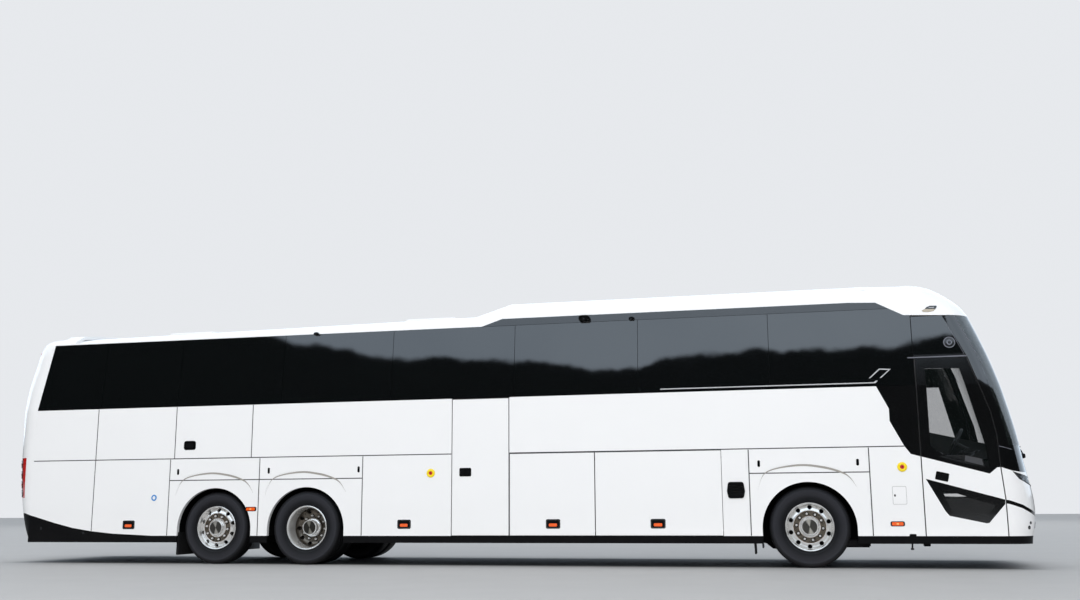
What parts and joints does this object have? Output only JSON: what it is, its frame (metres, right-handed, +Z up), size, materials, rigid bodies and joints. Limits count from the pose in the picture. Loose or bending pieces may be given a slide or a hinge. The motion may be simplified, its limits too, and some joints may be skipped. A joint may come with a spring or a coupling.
{
  "type": "three-axle touring coach",
  "caption": "High-deck touring coach with a steered front axle, twin-wheel drive axle and steered tag axle, raised front roof, outward-swinging doors and lifting luggage flaps.",
  "frame": {"origin": "on the ground, under the middle of the overall box", "axes": "+X forward, +Y to the coach's left, +Z up"},
  "size_m": [14.7222, 2.5566, 3.722],
  "materials": {
    "body_paint": "gloss white paint",
    "black_gloss": "gloss black",
    "black_plastic": "satin black plastic",
    "window_glass": "dark tinted glass",
    "lamp_lens": "clear lens",
    "rear_lens": "red lens",
    "tyre": "black rubber",
    "alloy": "polished",
    "chassis": "dark grey coating",
    "floor": "grey floor covering",
    "seat_fabric": "dark woven cloth"
  },
  "bodies": {
    "coach_body": {"side_wall_right": "body_paint", "side_wall_left": "body_paint", "roof_rear": "body_paint", "roof_front": "body_paint", "front_cap": "body_paint", "front_bumper": "body_paint", "rear_cap": "body_paint", "front_frame": "black_gloss", "windscreen": "window_glass", "side_glass": "window_glass", "rear_window": "window_glass", "headlamps": "lamp_lens", "rear_lamps": "rear_lens", "rear_bumper": "black_plastic", "skirts": "black_plastic", "window_frames": "black_plastic", "floors": "floor", "underframe": "chassis", "engine": "chassis", "wheel_housings": "black_plastic", "passenger_seats": "seat_fabric", "driver_station": "black_plastic", "front_axle": "chassis", "drive_axle": "chassis", "tag_axle": "chassis", "side_trims": "black_gloss"},
    "front_door": {"front_door": "body_paint", "front_door_trim": "black_gloss", "front_door_glass": "window_glass"},
    "front_door_arm": {"front_door_arm": "black_plastic"},
    "middle_door": {"middle_door": "body_paint"},
    "middle_door_arm": {"middle_door_arm": "black_plastic"},
    "engine_lid": {"engine_lid": "body_paint"},
    "luggage_flap_right_rear": {"luggage_flap_right_rear": "body_paint"},
    "luggage_flap_right_front": {"luggage_flap_right_front": "body_paint"},
    "luggage_flap_left_rear": {"luggage_flap_left_rear": "body_paint"},
    "luggage_flap_left_middle": {"luggage_flap_left_middle": "body_paint"},
    "luggage_flap_left_front": {"luggage_flap_left_front": "body_paint"},
    "front_knuckle_right": {"front_knuckle_right": "chassis"},
    "front_wheel_right": {"front_tyre_right": "tyre", "front_rim_right": "alloy"},
    "tag_knuckle_right": {"tag_knuckle_right": "chassis"},
    "tag_wheel_right": {"tag_tyre_right": "tyre", "tag_rim_right": "alloy"},
    "drive_wheel_right": {"drive_tyres_right": "tyre", "drive_rim_right": "alloy"},
    "front_knuckle_left": {"front_knuckle_left": "chassis"},
    "front_wheel_left": {"front_tyre_left": "tyre", "front_rim_left": "alloy"},
    "tag_knuckle_left": {"tag_knuckle_left": "chassis"},
    "tag_wheel_left": {"tag_tyre_left": "tyre", "tag_rim_left": "alloy"},
    "drive_wheel_left": {"drive_tyres_left": "tyre", "drive_rim_left": "alloy"}
  },
  "joints": [
    {"name": "front_steer_right", "type": "hinge", "parent": "coach_body", "child": "front_knuckle_right", "pos_m": [4.55, -0.88, 0.512], "axis": [0, 0, 1], "range_deg": [-40, 40]},
    {"name": "front_wheel_spin_right", "type": "hinge", "parent": "front_knuckle_right", "child": "front_wheel_right", "pos_m": [4.55, -1.06, 0.512], "axis": [0, 1, 0], "continuous": true},
    {"name": "tag_steer_right", "type": "hinge", "parent": "coach_body", "child": "tag_knuckle_right", "pos_m": [-3.81, -0.88, 0.512], "axis": [0, 0, 1], "range_deg": [-12, 12]},
    {"name": "tag_wheel_spin_right", "type": "hinge", "parent": "tag_knuckle_right", "child": "tag_wheel_right", "pos_m": [-3.81, -1.06, 0.512], "axis": [0, 1, 0], "continuous": true},
    {"name": "drive_wheel_spin_right", "type": "hinge", "parent": "coach_body", "child": "drive_wheel_right", "pos_m": [-2.38, -1.092, 0.512], "axis": [0, 1, 0], "continuous": true},
    {"name": "front_steer_left", "type": "hinge", "parent": "coach_body", "child": "front_knuckle_left", "pos_m": [4.55, 0.88, 0.512], "axis": [0, 0, 1], "range_deg": [-40, 40]},
    {"name": "front_wheel_spin_left", "type": "hinge", "parent": "front_knuckle_left", "child": "front_wheel_left", "pos_m": [4.55, 1.06, 0.512], "axis": [0, 1, 0], "continuous": true},
    {"name": "tag_steer_left", "type": "hinge", "parent": "coach_body", "child": "tag_knuckle_left", "pos_m": [-3.81, 0.88, 0.512], "axis": [0, 0, 1], "range_deg": [-12, 12]},
    {"name": "tag_wheel_spin_left", "type": "hinge", "parent": "tag_knuckle_left", "child": "tag_wheel_left", "pos_m": [-3.81, 1.06, 0.512], "axis": [0, 1, 0], "continuous": true},
    {"name": "drive_wheel_spin_left", "type": "hinge", "parent": "coach_body", "child": "drive_wheel_left", "pos_m": [-2.38, 1.092, 0.512], "axis": [0, 1, 0], "continuous": true},
    {"name": "front_door_swing", "type": "hinge", "parent": "coach_body", "child": "front_door_arm", "pos_m": [6.78, -1.145, 1], "axis": [0, 0, 1], "range_deg": [0, 140]},
    {"name": "front_door_level", "type": "hinge", "parent": "front_door_arm", "child": "front_door", "pos_m": [6.3, -1.196, 1], "axis": [0, 0, 1], "range_deg": [-140, 0]},
    {"name": "middle_door_swing", "type": "hinge", "parent": "coach_body", "child": "middle_door_arm", "pos_m": [-0.138, -1.145, 1], "axis": [0, 0, -1], "range_deg": [0, 140]},
    {"name": "middle_door_level", "type": "hinge", "parent": "middle_door_arm", "child": "middle_door", "pos_m": [0.282, -1.196, 1], "axis": [0, 0, -1], "range_deg": [-140, 0]},
    {"name": "luggage_flap_right_rear_lift", "type": "hinge", "parent": "coach_body", "child": "luggage_flap_right_rear", "pos_m": [1.2, -1.275, 1.493], "axis": [-1, 0, 0], "range_deg": [0, 95]},
    {"name": "luggage_flap_right_front_lift", "type": "hinge", "parent": "coach_body", "child": "luggage_flap_right_front", "pos_m": [2.6305, -1.275, 1.493], "axis": [-1, 0, 0], "range_deg": [0, 95]},
    {"name": "luggage_flap_left_rear_lift", "type": "hinge", "parent": "coach_body", "child": "luggage_flap_left_rear", "pos_m": [-0.8745, 1.275, 1.493], "axis": [1, 0, 0], "range_deg": [0, 95]},
    {"name": "luggage_flap_left_middle_lift", "type": "hinge", "parent": "coach_body", "child": "luggage_flap_left_middle", "pos_m": [0.785, 1.275, 1.493], "axis": [1, 0, 0], "range_deg": [0, 95]},
    {"name": "luggage_flap_left_front_lift", "type": "hinge", "parent": "coach_body", "child": "luggage_flap_left_front", "pos_m": [2.6305, 1.275, 1.493], "axis": [1, 0, 0], "range_deg": [0, 95]},
    {"name": "engine_lid_lift", "type": "hinge", "parent": "coach_body", "child": "engine_lid", "pos_m": [-7.366, 0, 1.753], "axis": [0, 1, 0], "range_deg": [0, 75]}
  ],
  "couplings": [
    {"joint": "front_steer_left", "follows": "front_steer_right", "ratio": 1},
    {"joint": "tag_steer_right", "follows": "front_steer_right", "ratio": -0.3},
    {"joint": "tag_steer_left", "follows": "front_steer_right", "ratio": -0.3},
    {"joint": "front_door_level", "follows": "front_door_swing", "ratio": -1},
    {"joint": "middle_door_level", "follows": "middle_door_swing", "ratio": -1}
  ]
}
